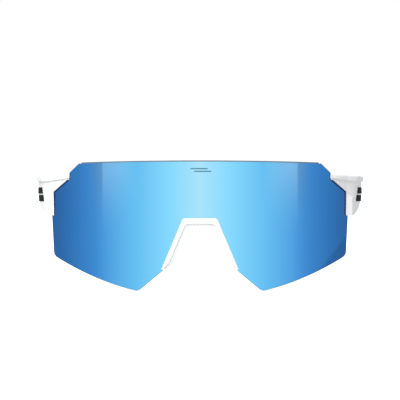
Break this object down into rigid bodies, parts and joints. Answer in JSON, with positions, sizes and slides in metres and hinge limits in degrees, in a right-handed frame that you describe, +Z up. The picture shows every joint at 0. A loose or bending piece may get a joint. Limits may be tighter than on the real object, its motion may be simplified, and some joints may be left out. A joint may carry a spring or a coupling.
{
  "type": "wraparound sport sunglasses",
  "caption": "Wraparound sport sunglasses: a frameless cylindrical shield lens with notched ends, a clip-in nose piece, and folding arms with rubber tips.",
  "frame": {"origin": "middle of the footprint, on the surface that the glasses stand on", "axes": "+Z up, +Y from the lens back to the ear tips, +X towards the wearer's left"},
  "size_m": [0.152, 0.1558, 0.0579],
  "materials": {
    "lens_mirror": "blue mirror coat on smoke polycarbonate, polished",
    "frame_white": "white nylon, satin gloss",
    "soft_rubber": "pale grey soft rubber, matt",
    "seal": "dark navy seal, matt",
    "hinge_steel": "stamped, tumbled",
    "screw_steel": "turned, slotted",
    "washer": "black nylon",
    "badge_black": "printed black, slightly raised"
  },
  "bodies": {
    "front": {"lens": "lens_mirror", "lens_gasket_left": "seal", "lens_gasket_right": "seal", "end_piece_left": "frame_white", "end_piece_right": "frame_white", "nose_bridge": "frame_white", "nose_pad": "soft_rubber", "hinge_front_leaf_left": "hinge_steel", "hinge_front_leaf_right": "hinge_steel", "hinge_screw_left": "screw_steel", "hinge_screw_right": "screw_steel", "hinge_washers_left": "washer", "hinge_washers_right": "washer", "front_leaf_screws_left": "screw_steel", "front_leaf_screws_right": "screw_steel"},
    "temple_left": {"hinge_temple_leaf_left": "hinge_steel", "temple_leaf_screws_left": "screw_steel", "temple_left": "frame_white", "temple_tip_left": "soft_rubber", "temple_badge_left": "badge_black"},
    "temple_right": {"hinge_temple_leaf_right": "hinge_steel", "temple_leaf_screws_right": "screw_steel", "temple_right": "frame_white", "temple_tip_right": "soft_rubber", "temple_badge_right": "badge_black"}
  },
  "joints": [
    {"name": "fold_left", "type": "hinge", "parent": "front", "child": "temple_left", "pos_m": [0.0656, -0.03476, 0.0386], "axis": [0, 0.1045, 0.9945], "range_deg": [0, 93]},
    {"name": "fold_right", "type": "hinge", "parent": "front", "child": "temple_right", "pos_m": [-0.0656, -0.03476, 0.0386], "axis": [0, -0.1045, -0.9945], "range_deg": [0, 81]}
  ]
}
